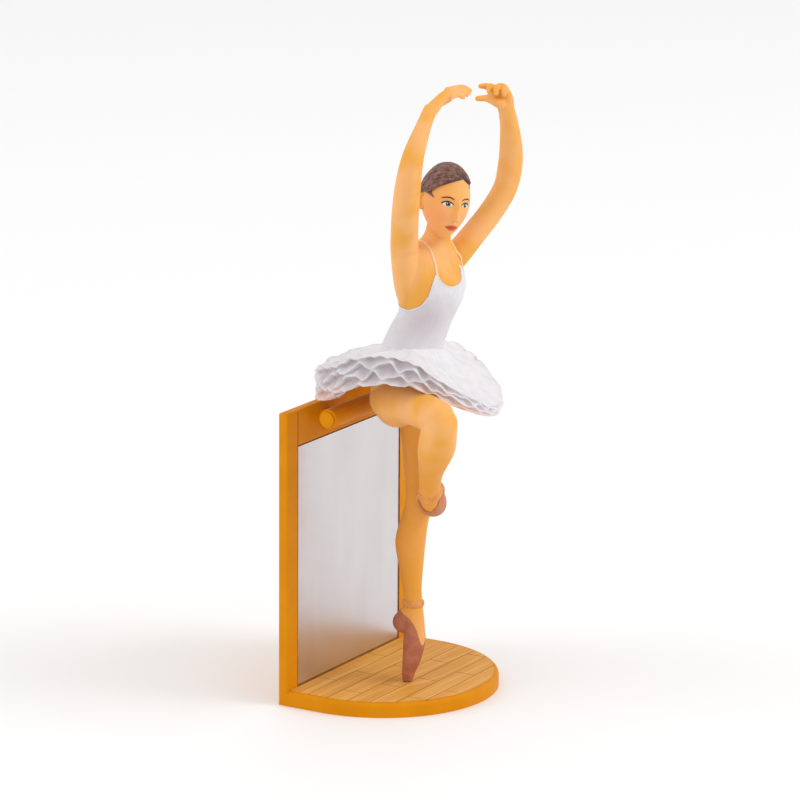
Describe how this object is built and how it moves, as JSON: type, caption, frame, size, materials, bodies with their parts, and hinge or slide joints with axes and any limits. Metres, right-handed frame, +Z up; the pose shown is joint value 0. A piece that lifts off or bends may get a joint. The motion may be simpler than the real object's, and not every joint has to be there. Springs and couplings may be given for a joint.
{
  "type": "ballerina figurine",
  "caption": "Toy dancer poised on one pointed toe on a half-round plank floor, arms arched overhead, before a framed upright mirror with a barre.",
  "frame": {"origin": "on the stand's flat underside, midway along the front face of the mirror frame", "axes": "+Z up the dancer, +X along the mirror, -Y out of the mirror over the half-round floor"},
  "size_m": [0.0494, 0.0391, 0.1225],
  "materials": {
    "painted_figure": "matt paint over moulded plastic",
    "orange_plastic": "smooth orange moulded plastic, planks printed on the floor",
    "silver_sheet": "silvered plastic sheet"
  },
  "bodies": {
    "root": {"dancer": "painted_figure", "stand": "orange_plastic", "mirror": "silver_sheet"}
  },
  "joints": []
}
